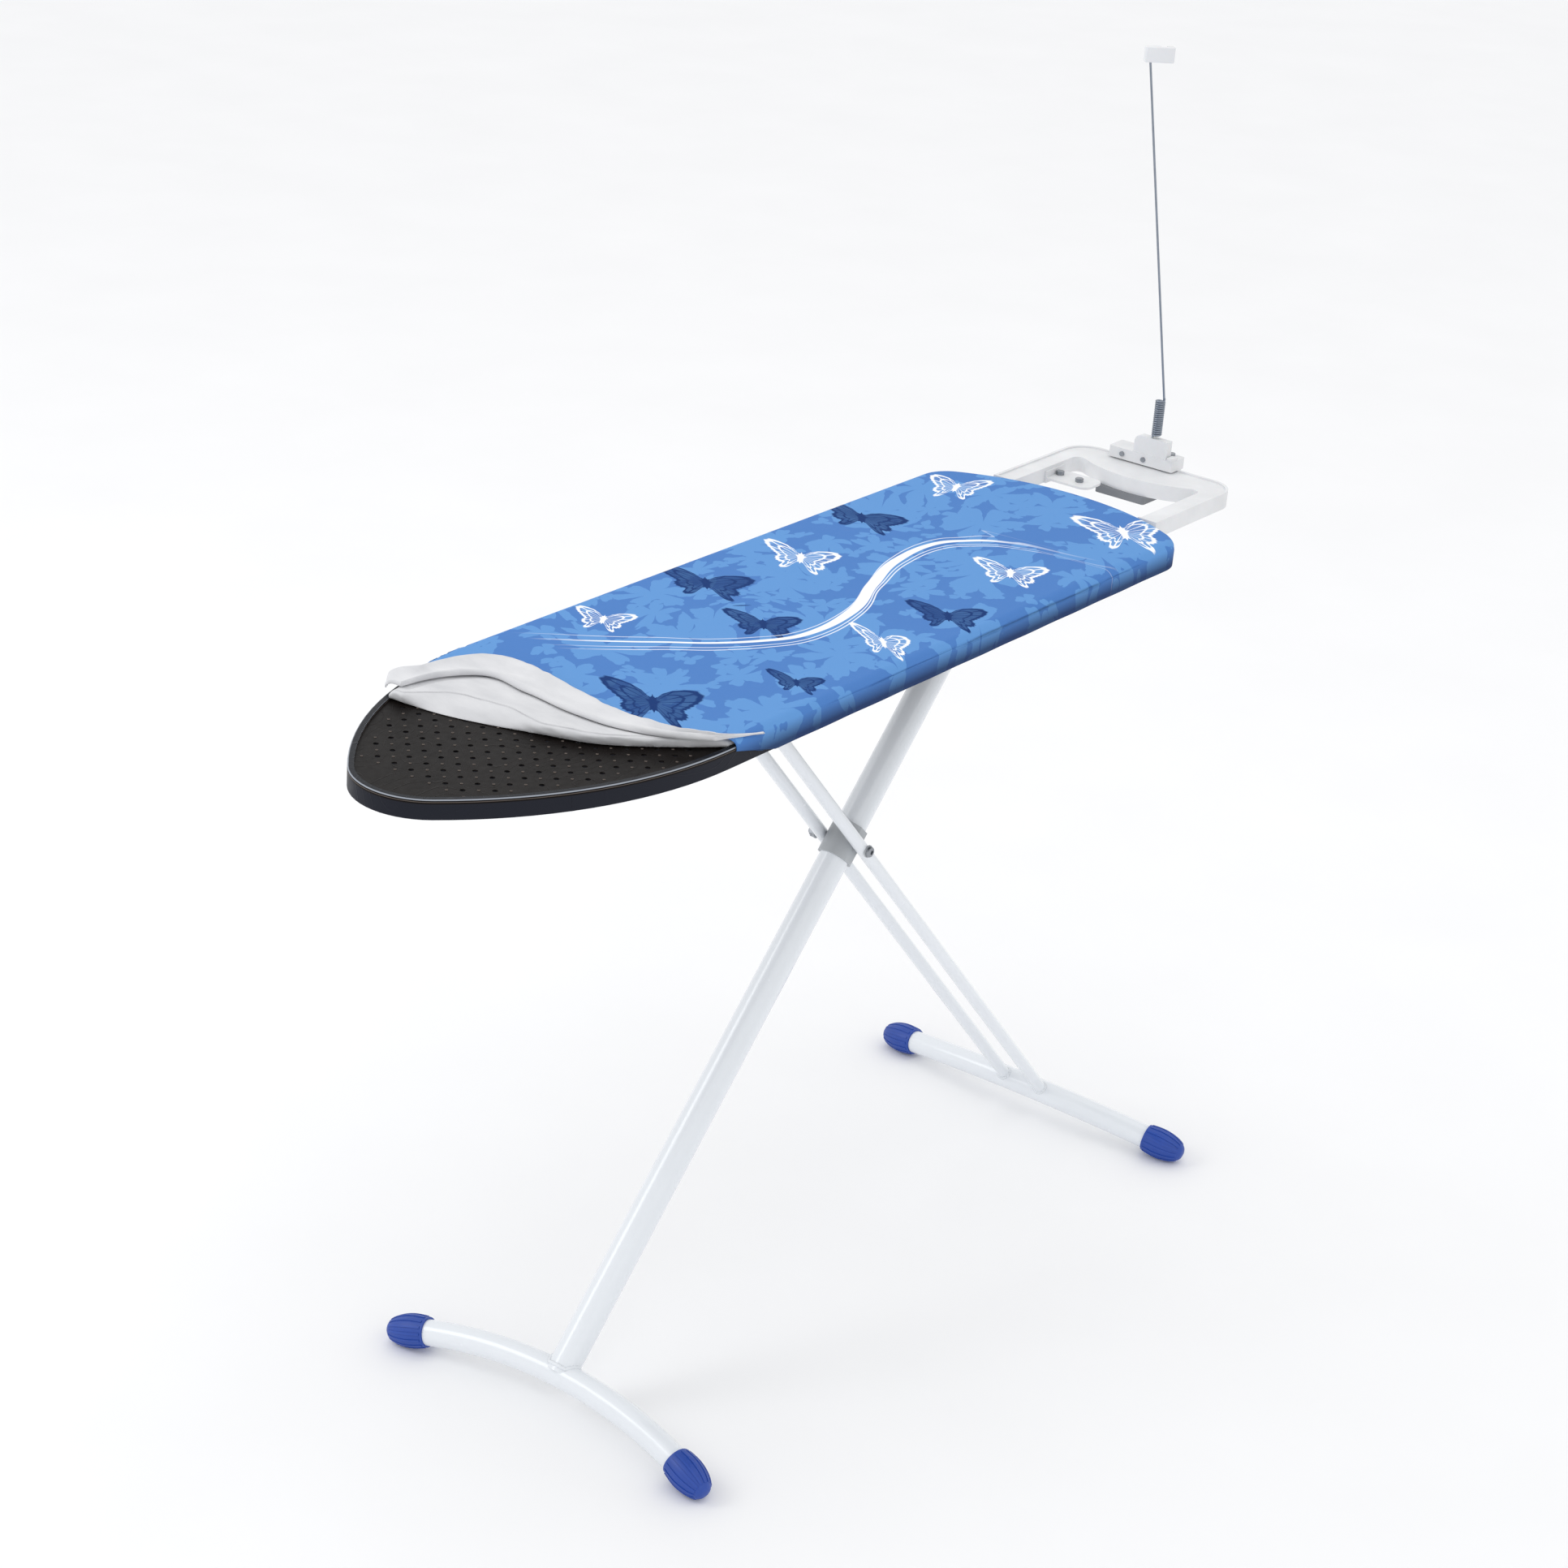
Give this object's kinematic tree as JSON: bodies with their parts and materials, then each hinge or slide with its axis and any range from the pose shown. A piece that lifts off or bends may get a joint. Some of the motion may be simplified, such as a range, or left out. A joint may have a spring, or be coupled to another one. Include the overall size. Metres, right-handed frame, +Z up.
{
  "type": "ironing board",
  "caption": "Folding ironing board: perforated board with padded cover on crossed legs, with a moulded iron rest and a sprung flex holder.",
  "frame": {"origin": "on the floor, midway between the nose and the back of the flex holder's clamp", "axes": "+X along the board from nose to iron rest, +Y across it, +Z up"},
  "size_m": [1.5256, 0.5042, 1.4663],
  "materials": {
    "black_board": "semi-gloss, fine grain",
    "white_felt": "soft needled felt",
    "printed_cotton": "printed cotton, fine weave",
    "cotton_back": "plain cotton back",
    "zinc_steel": "zinc plated",
    "spring_steel": "bright drawn wire",
    "pale_plastic": "satin moulded",
    "grey_plastic": "satin moulded",
    "collar_plastic": "satin moulded",
    "white_enamel": "gloss powder coat",
    "blue_plastic": "semi-gloss moulded"
  },
  "bodies": {
    "board": {"board_shell": "black_board", "felt_pad": "white_felt", "cover": "printed_cotton", "cover_flap": "cotton_back", "hinge_bracket": "zinc_steel", "hinge_screws": "zinc_steel", "hinge_pin": "zinc_steel", "hinge_pin_clip": "zinc_steel", "rail_left": "zinc_steel", "rail_right": "zinc_steel", "rail_screws": "zinc_steel", "lever_bracket": "zinc_steel", "lever_screws": "zinc_steel", "lever_pin": "zinc_steel", "lever_spring": "spring_steel", "iron_rest": "pale_plastic", "rest_screws": "zinc_steel", "rest_brace": "pale_plastic", "brace_bolts": "zinc_steel", "clamp_body": "pale_plastic", "clamp_jaw": "grey_plastic", "clamp_bolts": "zinc_steel", "base_screws": "zinc_steel"},
    "front_leg": {"front_leg_tube": "white_enamel", "hinge_sleeve": "white_enamel", "pivot_collar": "collar_plastic", "pivot_bush": "collar_plastic", "front_foot_tube": "white_enamel", "front_foot_cap_left": "blue_plastic", "front_foot_cap_right": "blue_plastic"},
    "rear_leg": {"rear_leg_tube_left": "white_enamel", "rear_leg_tube_right": "white_enamel", "rear_leg_plugs": "collar_plastic", "rear_foot_tube": "white_enamel", "rear_foot_cap_left": "blue_plastic", "rear_foot_cap_right": "blue_plastic", "cross_rod": "zinc_steel", "pivot_bolt": "zinc_steel", "pivot_nut": "zinc_steel", "pivot_washers": "collar_plastic"},
    "slide_carriage": {"slide_shoe_left": "collar_plastic", "slide_shoe_right": "collar_plastic"},
    "height_lever": {"lever_arm": "zinc_steel", "lever_grip": "blue_plastic"},
    "arm_base": {"arm_coil": "spring_steel"},
    "arm": {"arm_rod": "spring_steel", "cord_clip": "pale_plastic"}
  },
  "joints": [
    {"name": "leg_fold", "type": "hinge", "parent": "board", "child": "front_leg", "pos_m": [0.34477, 0, 0.8666], "axis": [0, 1, 0], "range_deg": [-4, 44.5]},
    {"name": "scissor_pivot", "type": "hinge", "parent": "front_leg", "child": "rear_leg", "pos_m": [0.07715, 0, 0.57962], "axis": [0, 1, 0], "range_deg": [-89, 8]},
    {"name": "shoe_pivot", "type": "hinge", "parent": "rear_leg", "child": "slide_carriage", "pos_m": [-0.19047, 0, 0.8666], "axis": [0, 1, 0], "range_deg": [-4, 44.5]},
    {"name": "lever_squeeze", "type": "hinge", "parent": "board", "child": "height_lever", "pos_m": [-0.22975, 0.109, 0.858], "axis": [1, 0, 0], "range_deg": [0, 8], "stiffness_Nm_per_rad": 4, "springref_deg": -11.46, "deforming": ["lever_spring"]},
    {"name": "arm_swivel", "type": "hinge", "parent": "board", "child": "arm_base", "pos_m": [0.73675, 0.0055, 0.962], "axis": [0, 0, 1], "range_deg": [-90, 90]},
    {"name": "arm_flex", "type": "hinge", "parent": "arm_base", "child": "arm", "pos_m": [0.73675, 0, 0.986], "axis": [0, 1, 0], "range_deg": [-35, 20], "stiffness_Nm_per_rad": 2.5, "deforming": ["arm_coil"]}
  ],
  "couplings": [
    {"joint": "scissor_pivot", "follows": "leg_fold", "ratio": -2},
    {"joint": "shoe_pivot", "follows": "leg_fold", "ratio": 1}
  ]
}
